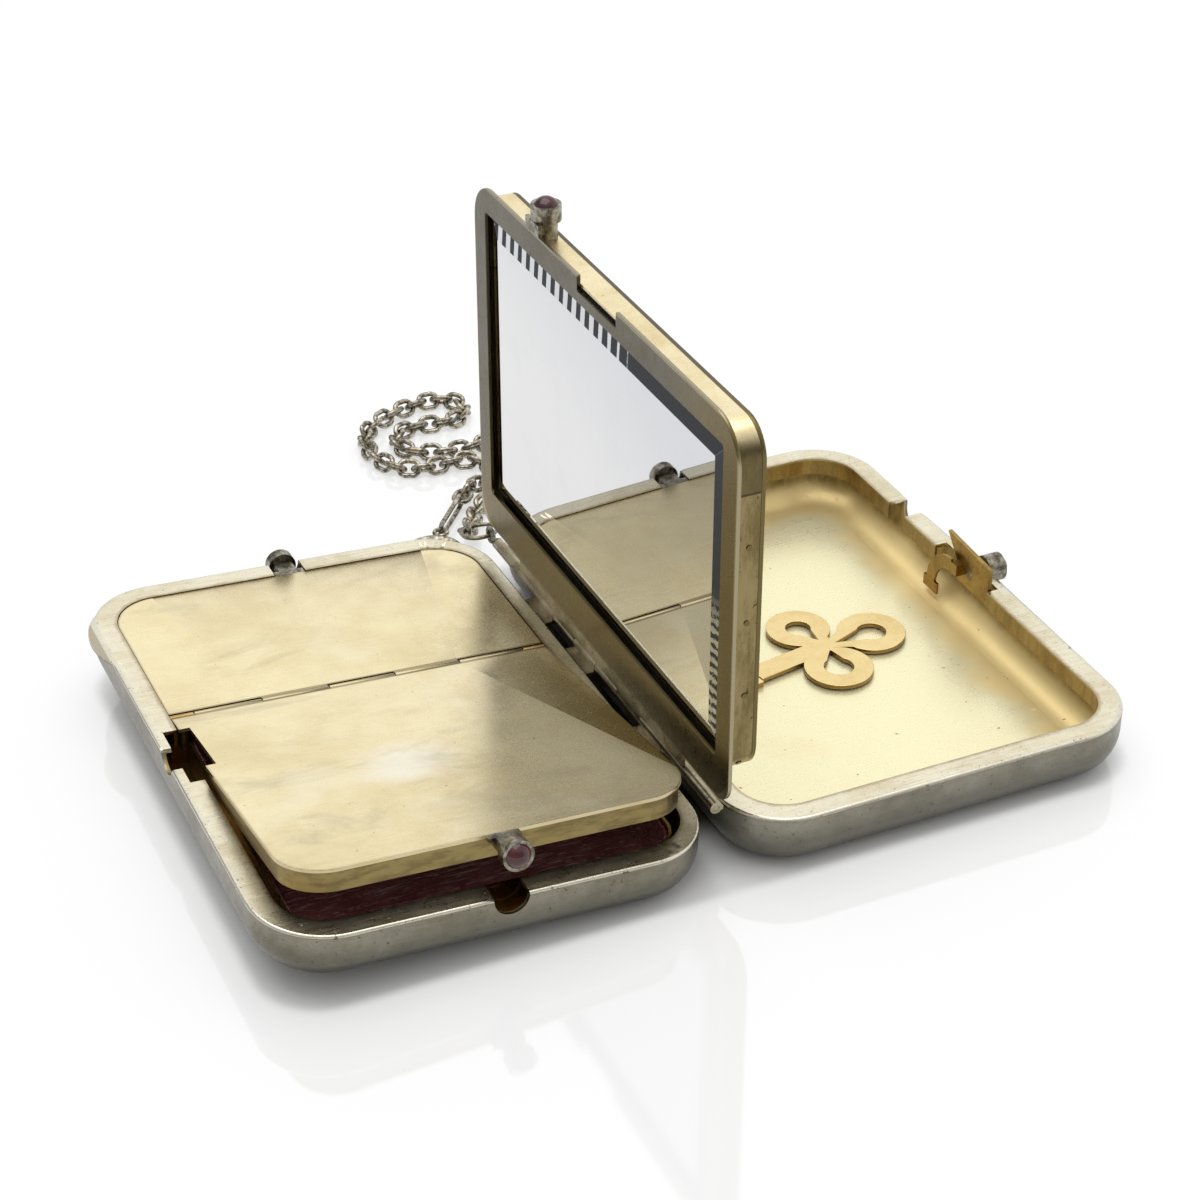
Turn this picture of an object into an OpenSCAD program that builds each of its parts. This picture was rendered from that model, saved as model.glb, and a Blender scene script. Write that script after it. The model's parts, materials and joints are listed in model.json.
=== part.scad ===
// Hinged vanity case of gilt silver: a base with two lidded compartments, a cover that
// serves as a tray, and a mirror leaf between them, all turning on one main hinge.
// The case lies open. The origin is the middle of the cover's flat underside, on the table.

/* [Shells] */
// Distance from the main hinge axis to the far edge of each shell
reach = 80.4; // [76:0.2:90]
// Length of the case along its main hinge
case_l = 111; // [104:1:130]
// Height of the cover's rim above the table
cover_h = 11.25; // [10.5:0.25:13]
// Corner radius of both shells in plan
corner_r = 13; // [12:0.5:15]
// Radius between the walls and the flat undersides
edge_r = 7; // [5:0.5:7.5]
// Thickness of the shell sheet
wall_t = 0.8; // [0.6:0.05:1]
// Distance of the base's near wall from the main hinge axis
base_gap = 2.5; // [2.2:0.1:2.8]
// Angle at which the hinge stops the open base over the table
base_tilt = 3.5; // [3:0.1:4]

/* [Rims] */
// Width of the flat rims
rim_w = 4.3; // [4:0.1:4.6]
// Width of the base's rim beside the main hinge
hinge_rim_w = 3.1; // [2.8:0.1:3.4]
// Thickness of the rim plates
rim_t = 0.7; // [0.5:0.05:0.9]
// Depth of the band that hangs inside each rim
band_d = 3.5; // [3:0.1:4]
// Thickness of that band
band_t = 0.5; // [0.4:0.05:0.6]
// Height of the cover's rim over the main hinge axis
rim_rise = 0.15; // [0.1:0.05:0.2]
// Gap left between the closed shells and the mirror leaf
close_gap = 0.08; // [0.06:0.01:0.12]
// Radius of the thumb notches in the rims
notch_r = 3.05; // [2.9:0.05:3.3]
// Depth of the thumb notches in the base's rim
notch_d = 3.5; // [3.3:0.1:4]
// Reach of the lifting lip beyond the base's edge
lip_w = 1.8; // [1.2:0.1:2.5]
// Radius of the lifting lip's edge
lip_r = 15.1; // [14.6:0.1:15.6]
// Distance of the lifting lip's middle from the far end of the case
lip_back = 16.5; // [16:0.1:21]

/* [Main hinge] */
// Outer radius of the barrel
barrel_r = 1.1; // [1:0.05:1.3]
// Radius of the hinge pins
pin_r = 0.5; // [0.4:0.05:0.6]
// Radial clearance of every pin in its bore
pin_clear = 0.05; // [0.03:0.01:0.08]
// Gap between neighbouring knuckles
knuckle_gap = 0.15; // [0.1:0.05:0.3]
// Distance of the barrel's ends from the ends of the case
barrel_in = 9; // [7:0.5:12]
// Length of the two end knuckles
end_knuckle_l = 19; // [16:0.5:20]

/* [Compartment lids] */
// Place of the lids' hinge axis along the case
lid_y = 67.3; // [60:0.1:70]
// Radius of the lids' hinge barrel
lid_barrel_r = 0.6; // [0.55:0.01:0.65]
// Radius of the lids' hinge pin
lid_pin_r = 0.3; // [0.25:0.01:0.35]
// Depth of the lids' faces under the rim
lid_sink = 0.15; // [0.1:0.05:0.3]
// Thickness of the lids' plates
lid_t = 0.7; // [0.5:0.05:0.8]
// Gap between a lid and the rim
lid_gap = 0.15; // [0.1:0.05:0.3]
// Gap between a lid's plate and its neighbour's knuckles
lid_relief = 0.25; // [0.2:0.05:0.5]
// Depth of the lids' skirts
skirt_d = 3.6; // [3:0.1:4]
// Thickness of the lids' skirts
skirt_t = 0.5; // [0.4:0.05:0.6]
// Setback of the skirts from the plates' edges
skirt_in = 0.5; // [0.4:0.05:0.7]
// Length of the fixed knuckles at the ends of the lids' hinge
lug_l = 4.35; // [3.5:0.05:5]
// Angle at which the front lid stands ajar
front_open = 8.4; // [6:0.1:9]
// Place of the lids' thumb-pieces from the main hinge axis
thumb_x = 40.6; // [36:0.2:45]

/* [Compartments] */
// Gap from the rim's band to the compartment trays
tray_in = 1.7; // [1.6:0.05:2]
// Depth of the trays' upper edges under the rim
tray_drop = 1.9; // [1.7:0.1:2.5]
// Sheet thickness of the trays
tray_t = 0.5; // [0.4:0.05:0.6]
// Corner radius of the trays in plan
tray_r = 6; // [5:0.5:7]
// Radius between the trays' walls and floors
tray_edge_r = 3; // [2:0.5:3]
// Thickness of the leather lining
lining_t = 0.6; // [0.4:0.1:1]
// Distance of the lining's upper edge under the tray's
lining_drop = 0.8; // [0.5:0.1:2]
// Thickness of the wall between the compartments
divider_t = 0.8; // [0.6:0.1:1]

/* [Mirror leaf] */
// Thickness of the mirror's frame
frame_t = 0.7; // [0.6:0.05:0.8]
// Distance of the frame's ends from the ends of the case
frame_end = 3.3; // [3:0.1:4]
// Distance of the frame's lower edge from the main hinge axis
frame_low = 3.76; // [3.5:0.02:4.2]
// Distance of the frame's upper edge from the main hinge axis
frame_top = 74.4; // [70:0.2:75]
// Radius of the frame's upper corners
frame_top_r = 7.7; // [6.5:0.1:8.5]
// Radius of the frame's lower corners
frame_low_r = 4.5; // [4:0.1:5.5]
// Width of the frame round the glass
frame_w = 5; // [4.5:0.1:5.5]
// Height of the glass's lower edge over the main hinge axis
glass_low = 11.5; // [10.5:0.1:12.5]
// Overall depth of the leaf behind its front face
leaf_d = 5.84; // [5.4:0.02:6.2]
// Setback of the mirror's box from the frame's edges
box_in = 1.7; // [1.5:0.1:2]
// Distance of the box's lower side from the main hinge axis
box_low = 8; // [7.6:0.1:8.5]
// Sheet thickness of the mirror's box
box_t = 0.6; // [0.4:0.05:0.7]
// Thickness of the back plate
back_t = 0.7; // [0.5:0.05:0.9]
// Corner radius of the mirror's box
box_r = 6; // [5.5:0.5:6.5]
// Thickness of the mirror glass
glass_t = 2; // [1.5:0.1:2.4]
// Gap round the glass in its box
glass_gap = 0.3; // [0.2:0.05:0.5]
// Width of the bevel along the glass's edges
bevel_w = 4; // [3:0.5:5]
// Depth of the bevel at the glass's edges
bevel_d = 0.7; // [0.4:0.1:1]
// Distance of the lowest rivets in the box's sides from the main hinge axis
rivet_low = 10.5; // [9.5:0.1:12]
// Distance between neighbouring rivets
rivet_pitch = 13.9; // [12:0.1:15]
// Radius of the rivets
rivet_r = 0.5; // [0.4:0.05:0.6]
// Height of the rivets' heads
rivet_h = 0.15; // [0.1:0.05:0.2]
// Length of the hinge tab under the frame
tab_l = 69.1; // [62:0.1:72]
// Place of the thumb-piece along the mirror's upper edge
mirror_thumb_y = 81.3; // [78:0.1:84]
// Distance of the mirror's setting from the main hinge axis, at its mouth
mirror_bezel_top = 79.2; // [78.5:0.1:80]
// Depth of the latch notch in the mirror's upper edge
leaf_notch_d = 2.9; // [2.5:0.1:3.2]

/* [Jewelled thumb-pieces] */
// Outer radius of the stone settings
bezel_r = 2.7; // [2.5:0.05:2.8]
// Length of the settings on the compartment lids
lid_bezel_l = 2.1; // [1.8:0.1:2.6]
// Length of the setting on the mirror
mirror_bezel_l = 2.9; // [2.4:0.1:3.2]
// Radius of the stems that carry the settings
stem_r = 2; // [1.8:0.05:2.2]
// Wall thickness of the settings
bezel_t = 0.55; // [0.45:0.05:0.7]
// Width of the flat tabs behind the stems
thumb_w = 5.6; // [5:0.1:5.8]
// Depth of a stem's axis under its plate's face
stem_drop = 1.1; // [1:0.05:1.3]
// Height of the stones over their settings
stone_rise = 1.3; // [1:0.1:1.6]
// Depth of the stones' seats in their settings
stone_seat = 1; // [0.8:0.1:1.2]
// Gap between a stone and its setting
stone_gap = 0.03; // [0.02:0.01:0.05]

/* [Latch] */
// Place of the push button along the case
latch_y = 54.9; // [52:0.1:57]
// Height of the button's axis over the main hinge axis
button_z = 0.2; // [0:0.05:0.4]
// Length of the button's setting
button_l = 3.5; // [3:0.1:4]
// Travel of the button
button_travel = 1.5; // [1.2:0.1:1.6]
// Radial clearance of the button in the shells' half-round cuts
button_clear = 0.6; // [0.4:0.1:0.8]
// Length of the latch plate along the case
latch_l = 15.3; // [14:0.1:15.6]
// Height of the latch plate over the cover's rim
latch_rise = 5.2; // [4.6:0.1:5.5]
// Thickness of the latch plate
latch_t = 0.8; // [0.6:0.05:0.9]
// Distance of the latch plate's outer face from the case's far edge
latch_in = 3.1; // [3:0.05:3.3]
// Width of the edge strip left outside the latch openings
strip_w = 1.8; // [1.6:0.1:2]
// Radius of the stem between the button and the latch plate
latch_stem_r = 1.2; // [1:0.05:1.3]
// Reach of the latch's nose under the base's rim
nose_w = 1.7; // [1.4:0.1:1.8]
// Middle radius of the latch's curved spring
spring_r = 6.8; // [6:0.1:7]
// Breadth of that spring
spring_w = 2.8; // [2.2:0.1:3]
// Thickness of that spring
spring_t = 0.5; // [0.3:0.05:0.6]

/* [Trefoil clip] */
// Thickness of the clip
clip_t = 0.9; // [0.7:0.1:1.1]
// Gap between the clip and the cover's floor
clip_gap = 0.3; // [0.2:0.1:0.5]
// Width of the clip's band round its three leaves
clip_band = 3.7; // [3.2:0.1:4.2]
// Place of the leaves' meeting point from the main hinge axis
clip_x = 47.6; // [44:0.2:52]
// Place of the leaves' meeting point along the case
clip_y = 56.8; // [54:0.2:60]
// Length of the stem
clip_stem_l = 17; // [14:0.5:20]
// Width of the stem
clip_stem_w = 4.4; // [3.5:0.1:5]
// Direction of the stem
clip_turn = 10; // [0:1:20]
// Length of the plate that holds the stem
clip_root_l = 7; // [5:0.5:9]
// Width of the plate that holds the stem
clip_root_w = 6; // [5:0.5:8]

/* [Chain] */
// Thickness of the links' wire
wire_d = 1.05; // [0.95:0.05:1.1]
// Length of a link
link_l = 5.4; // [5:0.1:6]
// Width of a link
link_w = 4.2; // [4.1:0.1:4.6]
// Play between neighbouring links
link_play = 0.25; // [0.15:0.05:0.3]
// Thickness of the long end link's wire
end_wire_d = 1; // [0.9:0.05:1.05]
// Width of the long end link
end_link_w = 3.6; // [3.5:0.1:3.8]
// Outer diameter of the spring ring
ring_d = 12; // [11:0.5:12.5]
// Thickness of the spring ring's tube
ring_tube = 2.3; // [2:0.1:2.4]
// Wall thickness of that tube
ring_tube_t = 0.45; // [0.35:0.05:0.5]
// Travel of the spring ring's bolt as an angle
bolt_travel = 50; // [40:1:55]
// Mean radius of the jump ring at the hinge
jump_r = 3.4; // [3:0.1:3.6]
// Thickness of the jump ring's wire
jump_wire = 0.8; // [0.6:0.1:0.9]
// Mean radius of the eye at the hinge
eye_r = 1.35; // [1.2:0.05:1.6]
// Thickness of the eyes' wire
eye_wire = 0.9; // [0.7:0.1:1]
// Length of the neck between the barrel and its eye
eye_neck = 2.6; // [2:0.1:3.5]

/* [Hidden] */
$fn = 64;
eps = 0.01;

// Heights and distances that follow from the main hinge
hinge_h = cover_h - rim_rise;
cover_gap = barrel_r + 0.2;
cover_mid = (cover_gap + reach) / 2;
barrel_end = case_l - barrel_in;
knuckle_l = (barrel_end - barrel_in - 2 * end_knuckle_l) / 6;
rim_drop = rim_rise + frame_t + 2 * close_gap;
base_d = (hinge_h + (base_gap + edge_r) * sin(base_tilt) - edge_r) / cos(base_tilt)
    + edge_r - rim_drop;
base_low = -rim_drop - base_d;
base_open_x0 = -(reach - rim_w);
base_open_x1 = -(base_gap + hinge_rim_w);
open_y0 = rim_w;
open_y1 = case_l - rim_w;
open_r = corner_r - rim_w;
button_cut_r = bezel_r + button_clear;
latch_x = reach - latch_in;
latch_cut_y0 = latch_y - latch_l / 2;
latch_cut_y1 = latch_y + latch_l / 2 + 0.5;

latch_y0 = latch_cut_y0 + 0.8;
latch_y1 = latch_y0 + latch_l - 0.4;
latch_top = rim_rise + latch_rise;
barb_z = rim_drop + rim_t + close_gap;

// Places on the compartment lids
lid_face = -rim_drop - lid_sink;
lid_axis_z = -rim_drop - lid_barrel_r;
lid_edge = lid_barrel_r + lid_relief;
lid_joints = [for (i = [0 : 5]) base_open_x0 + lug_l
    + i * (base_open_x1 - base_open_x0 - 2 * lug_l) / 5];
lid_stem_z = lid_face - stem_drop;
lid_bezel_y = -lid_bezel_l - 0.15;
tray_top = -rim_drop - tray_drop;

// Places on the mirror leaf
leaf_front = -rim_drop + close_gap;
leaf_back = leaf_front + leaf_d;
frame_back = leaf_front + frame_t;
box_y0 = frame_end + box_in;
box_y1 = case_l - frame_end - box_in;
box_top = frame_top - box_in;
mirror_stem_x = leaf_front + bezel_r;

// How far setting and stem run into each other, and the web that joins stem and tab
joint_depth = 0.2;
thumb_joint_gap = 0.1;
thumb_joint_w = 0.8;

// Mirror's hinge tab: its shift from the case's middle and its height over the barrel
tab_shift = 0.65;
tab_lift = 0.2;

// Latch plate: the length of its lower step and of its nose, and the slant of its top
latch_step = 4;
nose_l = 2.4;
latch_slant = 0.8;

// Trefoil clip: each leaf's direction, distance and radius, and where its hole runs to a point
clip_leaves = [[107.5, 7.65, 6.1, 2.2], [3, 9.8, 6.5, 1.8], [-101.6, 7.45, 6.5, 1.8]];

// Chain: links hang on joints that lie one pitch apart along a route from the jump ring,
// down to the table, out to the far bend and back. A route point is its distance from the
// main hinge axis, from the far end of the case and from the table. The jump ring
// lies nearly flat, turned and dropped by two angles, and the first link hooks into its far side.
link_pitch = link_l - 2 * wire_d - link_play;
wire_r = wire_d / 2;
link_z = (link_w - wire_d) / 2 * sin(45) + wire_r + 0.1;
end_z = end_link_w / 2 + 0.15;
eye_at = [0, barrel_end + eye_neck + eye_r, 0];
jump_turn = 18;
jump_fall = 12;
jump_far = eye_at + [-sin(jump_turn), cos(jump_turn), 0] * jump_r * (1 + cos(jump_fall))
    + [0, 0, hinge_h - 2 * jump_r * sin(jump_fall)];
first_bend = [-0.4, case_l + 6.2, 6.4];
hook = (jump_wire - link_play) / 2 + 2 * link_play;
ROUTE = [[1.8, 10.6, 3.6], [4.6, 15.6, 2.4], [8.2, 20.6, link_z], [13, 24.4, link_z],
    [18.4, 28, link_z], [23.9, 35.8, link_z], [25.2, 39.7, link_z], [23.4, 43.5, link_z],
    [19.6, 45, link_z], [14, 44.4, link_z], [9.4, 45, link_z], [4.8, 47, link_z],
    [2.6, 49.5, link_z], [2.2, 52.9, link_z], [3.8, 55.9, link_z], [6.8, 57.4, link_z],
    [11.6, 57.4, link_z], [16, 56.7, link_z], [19.7, 58.3, link_z], [21.3, 62, link_z],
    [19.7, 65.7, link_z], [16, 67.3, link_z], [10.6, 66.6, link_z], [5.4, 64.8, link_z],
    [0.4, 61.8, link_z], [-3.2, 57.4, link_z], [-4.2, 51.8, link_z], [-3.4, 46.4, link_z],
    [-0.6, 42, link_z], [4.6, 40, link_z], [10.8, 40, 1.89], [14.8, 38.4, 1.94],
    [16.4, 34.4, 1.99], [14.8, 30.4, 2.05], [10.8, 28.8, 2.1], [7.6, 26.8, 2.2], [4.4, 23, 2.05]];
CHAIN = [jump_far + (jump_far - first_bend) / norm(jump_far - first_bend) * hook,
    first_bend, for (p = ROUTE) p + [0, case_l, 0]];

// Spring ring on the table: its middle line and its eye
ring_r = (ring_d - ring_tube) / 2;
ring_at = [-6.8, case_l + 8.2, ring_tube / 2 + 0.1];
ring_eye_turn = 58;
ring_eye_r = 1.25;
ring_eye_at = ring_at + [cos(ring_eye_turn), sin(ring_eye_turn), 0] * (ring_d / 2 + ring_eye_r - 0.1)
    + [0, 0, 0.55];
tube_start = -120;
tube_end = 165;
gap_angle = 360 + tube_start - tube_end;

// Bolt of the spring ring: how far it runs into the tube at either end, the slot that its
// knob slides in, and the knob
bolt_tail = 60;
bolt_tip = 3;
slot_angle = bolt_travel + 12;
slot_w = 0.9;
knob_place = 7;
knob_r = 0.7;
knob_l = 0.6;

// Points of a smooth curve through the route, and the length of the curve up to each
function blend(p, i, t) = let (n = len(p) - 1, a = p[max(i - 1, 0)], b = p[i], c = p[i + 1],
    d = p[min(i + 2, n)])
    0.5 * (2 * b + (c - a) * t + (2 * a - 5 * b + 4 * c - d) * t * t + (3 * b - a - 3 * c + d) * t * t * t);
curve = [for (i = [0 : len(CHAIN) - 2], k = [0 : 9]) blend(CHAIN, i, k / 10), CHAIN[len(CHAIN) - 1]];
last = len(curve) - 1;
lengths = [for (i = 0, s = 0; i <= last; s = s + (i < last ? norm(curve[i + 1] - curve[i]) : 0),
    i = i + 1) s];
routes = [for (k = [0 : 2]) [for (i = [0 : last]) [lengths[i], curve[i][k]]]];
function along(s) = [for (k = [0 : 2]) lookup(s, routes[k])];

// Place of the next joint: one pitch away in a straight line, found in three steps
function step(s, from, tries) = tries == 0 ? s
    : step(s + link_pitch - norm(along(s) - from), from, tries - 1);
places = [for (s = 0; s < lengths[last]; s = step(s + link_pitch, along(s), 3)) s];

// Number of links, made even so that the last one lies flat beside the long end link
link_n = 2 * floor((len(places) - 1) / 2);
link_joints = [for (i = [0 : link_n]) along(places[i])];

// Links lean 45 degrees to either side, and stand upright or lie flat near the chain's ends
function link_roll(i) = (i % 2 == 0 ? 45 : -45) + 45 * max(0, 1 - min(i, link_n - 1 - i) / 4);

// Moves from hinge coordinates (axis along Y through the origin) to the part's own frame
module at_hinge() { translate([-cover_mid, -case_l / 2, hinge_h]) children(); }
module at_base() { at_hinge() rotate([0, base_tilt, 0]) children(); }
module at_clip() { at_hinge() translate([clip_x, clip_y, wall_t + clip_gap - hinge_h]) children(); }
module at_front_lid() {
    at_base() translate([0, lid_y, lid_axis_z]) rotate([-front_open, 0, 0])
        translate([0, -lid_y, -lid_axis_z]) children();
}

// Rectangle with round corners
module rounded(x0, x1, y0, y1, r) {
    translate([x0 + r, y0]) square([x1 - x0 - 2 * r, y1 - y0]);
    translate([x0, y0 + r]) square([x1 - x0, y1 - y0 - 2 * r]);
    for (x = [x0 + r, x1 - r], y = [y0 + r, y1 - r]) translate([x, y]) circle(r);
}

// Section of a shell: a rectangle whose lower corners are round
module dish_section(w, h, e) {
    intersection() {
        square([w, h]);
        union() {
            translate([e, 0]) square([w - 2 * e, h]);
            translate([0, e]) square([w, h]);
            for (x = [e, w - e]) translate([x, e]) circle(e);
        }
    }
}

// Solid with plan corners of radius r and a lower edge of radius e
module dish(x0, x1, y0, y1, z0, z1, r, e) {
    h = z1 - z0;
    translate([x0, y1 - r, z0]) rotate([90, 0, 0]) linear_extrude(y1 - y0 - 2 * r)
        dish_section(x1 - x0, h, e);
    translate([x0 + r, y0, z0]) rotate([90, 0, 90]) linear_extrude(x1 - x0 - 2 * r)
        dish_section(y1 - y0, h, e);
    for (x = [x0 + r, x1 - r], y = [y0 + r, y1 - r]) translate([x, y, z0])
        rotate_extrude() intersection() {
            translate([-r, 0]) dish_section(2 * r, h, e);
            square([r + 1, h]);
        }
}

// Sheet-metal dish: one solid less the same solid set in by its thickness
module tray_form(x0, x1, y0, y1, z0, z1, r, e, t) {
    difference() {
        dish(x0, x1, y0, y1, z0, z1, r, e);
        dish(x0 + t, x1 - t, y0 + t, y1 - t, z0 + t, z1 + 1, r - t, e - t);
    }
}

// Cylinder along Y, or along X, between two places
module rod_y(x, z, y0, y1, r) { translate([x, y1, z]) rotate([90, 0, 0]) cylinder(r = r, h = y1 - y0); }
module rod_x(y, z, x0, x1, r) { translate([x0, y, z]) rotate([0, 90, 0]) cylinder(r = r, h = x1 - x0); }

// Box between two corners
module span(a, b) { translate(a) cube(b - a); }

// U-shaped notch that opens upward
module notch_y(x, z, y0, y1, r) {
    rod_y(x, z, y0, y1, r);
    span([x - r, y0, z], [x + r, y1, z + 10]);
}
module notch_x(y, z, x0, x1, r) {
    rod_x(y, z, x0, x1, r);
    span([x0, y - r, z], [x1, y + r, z + 10]);
}

// Openings of the base for the lids' thumb-pieces and for the latch
module base_cuts() {
    z = -rim_drop - notch_d + notch_r;
    notch_y(-thumb_x, z, -1, open_y0 + 1, notch_r);
    notch_y(-thumb_x, z, open_y1 - 1, case_l + 1, notch_r);
    notch_x(latch_y, -button_z, -reach - 1, -reach + strip_w + eps, button_cut_r);
    span([-reach + strip_w, latch_cut_y0, -rim_drop - band_d - 1],
        [-reach + rim_w + 1, latch_cut_y1, 0]);
}

module base_shell() {
    color("#8f8a78") at_base() difference() {
        tray_form(-reach, -base_gap, 0, case_l, base_low, -rim_drop - rim_t, corner_r, edge_r, wall_t);
        base_cuts();
    }
}

// Flat ring with a band hanging at its inner edge
module rim_form(x0, x1, w0, w1, z) {
    translate([0, 0, z - rim_t]) linear_extrude(rim_t) difference() {
        union() {
            rounded(x0, x1, 0, case_l, corner_r);
            children();
        }
        rounded(x0 + w0, x1 - w1, open_y0, open_y1, open_r);
    }
    translate([0, 0, z - band_d]) linear_extrude(band_d - rim_t) difference() {
        rounded(x0 + w0 - band_t, x1 - w1 + band_t, open_y0 - band_t, open_y1 + band_t, open_r + band_t);
        rounded(x0 + w0, x1 - w1, open_y0, open_y1, open_r);
    }
}

module base_rim() {
    color("#c9b98a") at_base() difference() {
        rim_form(-reach, -base_gap, rim_w, hinge_rim_w, -rim_drop)
            translate([-reach - lip_w + lip_r, case_l - lip_back]) circle(lip_r);
        base_cuts();
    }
}

// Ends of the eight knuckles of the main hinge
function knuckle_y(i) = i == 0 ? barrel_in
    : i == 8 ? barrel_end
    : barrel_in + end_knuckle_l + (i - 1) * knuckle_l;

// Knuckles of one leaf of the main hinge, each with its web
module knuckles(list) {
    for (i = list) {
        y0 = knuckle_y(i) + (i == 0 ? 0 : knuckle_gap / 2);
        y1 = knuckle_y(i + 1) - (i == 7 ? 0 : knuckle_gap / 2);
        difference() {
            union() {
                rod_y(0, 0, y0, y1, barrel_r);
                translate([0, y1, 0]) rotate([90, 0, 0]) linear_extrude(y1 - y0) children();
            }
            rod_y(0, 0, y0 - 1, y1 + 1, pin_r + pin_clear);
        }
    }
}

module base_hinge_leaf() {
    color("#a8986a") at_base() knuckles([1, 4, 6])
        polygon([[-base_gap, -rim_drop], [-base_gap, -rim_drop - rim_t],
            [-barrel_r, -rim_drop - rim_t], [0, -barrel_r], [-barrel_r, 0], [-barrel_r, -rim_drop]]);
}

module cover_hinge_leaf() {
    color("#a8986a") at_hinge() knuckles([0, 3, 7])
        polygon([[cover_gap, rim_rise], [cover_gap, rim_rise - rim_t], [0.7, rim_rise - rim_t],
            [0.7, rim_rise]]);
}

module main_hinge_pin() {
    color("#8d8468") at_hinge() rod_y(0, 0, barrel_in, barrel_end, pin_r);
}

module chain_eye() {
    color("#8b8577") at_hinge() union() {
        rod_y(0, 0, barrel_end, barrel_end + 0.6, barrel_r);
        rod_y(0, 0, barrel_end, barrel_end + eye_neck + eye_wire / 4, eye_wire / 2);
        translate(eye_at) rotate([0, 90, 0]) rotate_extrude() translate([eye_r, 0]) circle(eye_wire / 2);
    }
}

module cover_cuts() {
    notch_x(mirror_thumb_y, -mirror_stem_x, reach - rim_w - 1, reach + 1, notch_r);
    notch_x(latch_y, button_z, reach - strip_w - eps, reach + 1, button_cut_r);
    span([reach - rim_w - 1, latch_cut_y0 + 0.5, -band_d - 1],
        [reach - strip_w, latch_cut_y1 + 3.4, 2]);
}

module cover_shell() {
    color("#8f8a78") at_hinge() difference() {
        tray_form(cover_gap, reach, 0, case_l, -hinge_h, rim_rise - rim_t, corner_r, edge_r, wall_t);
        cover_cuts();
    }
}

module cover_rim() {
    color("#c9b98a") at_hinge() difference() {
        rim_form(cover_gap, reach, rim_w, rim_w, rim_rise);
        cover_cuts();
    }
}

module divider() {
    i = wall_t + 0.02;
    g = lid_gap - 0.05;
    color("#bfa868") at_base() difference() {
        union() {
            intersection() {
                span([base_open_x0 + 0.05, lid_y - divider_t / 2, base_low],
                    [base_open_x1 - 0.05, lid_y + divider_t / 2, lid_axis_z - lid_barrel_r - 0.15]);
                dish(-reach + i, -base_gap - i, i, case_l - i, base_low + wall_t, 0,
                    corner_r - i, edge_r - i);
            }
            for (x = [[base_open_x0, lid_joints[0]], [lid_joints[5], base_open_x1]] + [[g, -g], [g, -g]]) {
                rod_x(lid_y, lid_axis_z, x[0], x[1], lid_barrel_r);
                span([x[0], lid_y - divider_t / 2, lid_axis_z - lid_barrel_r - 0.5],
                    [x[1], lid_y + divider_t / 2, lid_axis_z - lid_barrel_r / 2]);
            }
        }
        rod_x(lid_y, lid_axis_z, -reach, 0, lid_pin_r + pin_clear);
    }
}

module tray_between(y0, y1) {
    tray_form(base_open_x0 + tray_in, base_open_x1 - tray_in, y0, y1, base_low + wall_t,
        tray_top, tray_r, tray_edge_r, tray_t);
}
module front_tray() { color("#b59a58") at_base() tray_between(open_y0 + tray_in, lid_y - divider_t / 2); }
module rear_tray() { color("#b59a58") at_base() tray_between(lid_y + divider_t / 2, open_y1 - tray_in); }

module front_lining() {
    i = tray_t + 0.02;
    color("#5a2222") at_base() tray_form(base_open_x0 + tray_in + i, base_open_x1 - tray_in - i,
        open_y0 + tray_in + i, lid_y - divider_t / 2 - i, base_low + wall_t + tray_t,
        tray_top - lining_drop, tray_r - i, tray_edge_r - i, lining_t);
}

// Outline of both lids together, set in by i from the rim's opening
module lids_outline(i) {
    rounded(base_open_x0 + i, base_open_x1 - i, open_y0 + i, open_y1 - i, open_r - i);
}

// Part of the base in front of the lids' axis or behind it, from a distance e on
module lid_half(side, e) {
    translate([-reach, side < 0 ? 0 : lid_y + e]) square([reach, side < 0 ? lid_y - e : case_l]);
}

// One lid: side is -1 for the front one and 1 for the rear one, own lists its knuckles
module lid_form(side, own) {
    difference() {
        union() {
            translate([0, 0, lid_face - lid_t]) linear_extrude(lid_t) intersection() {
                lids_outline(lid_gap);
                lid_half(side, lid_edge);
            }
            translate([0, 0, lid_face - lid_t - skirt_d]) linear_extrude(skirt_d) difference() {
                intersection() {
                    lids_outline(lid_gap + skirt_in);
                    lid_half(side, 2);
                }
                lids_outline(lid_gap + skirt_in + skirt_t);
            }
            for (k = own) {
                x0 = lid_joints[k - 1] + 0.1;
                x1 = lid_joints[k] - 0.1;
                rod_x(lid_y, lid_axis_z, x0, x1, lid_barrel_r);
                span([x0, side < 0 ? lid_y - lid_edge - 1 : lid_y, lid_face - lid_t],
                    [x1, side < 0 ? lid_y : lid_y + lid_edge + 1, lid_face]);
            }
        }
        rod_x(lid_y, lid_axis_z, -reach, 0, lid_pin_r + pin_clear);
        span([base_open_x0 - 1, latch_cut_y0 - 0.3, lid_face - 10],
            [base_open_x0 + 2, latch_cut_y1 - 1, lid_face + 1]);
    }
}
module front_lid() { color("#c9b98a") at_front_lid() lid_form(-1, [1, 3, 5]); }
module rear_lid() { color("#c9b98a") at_base() lid_form(1, [2, 4]); }
module lid_hinge_pin() {
    color("#8d8468") at_front_lid()
        rod_x(lid_y, lid_axis_z, base_open_x0 + 0.1, base_open_x1 - 0.1, lid_pin_r);
}

// Stone setting along Z: a cup of length l whose mouth is at the top, on z = 0
module setting(l) {
    translate([0, 0, -l]) difference() {
        cylinder(r = bezel_r, h = l);
        translate([0, 0, l - stone_seat]) cylinder(r = bezel_r - bezel_t, h = stone_seat + 1);
    }
}

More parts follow.
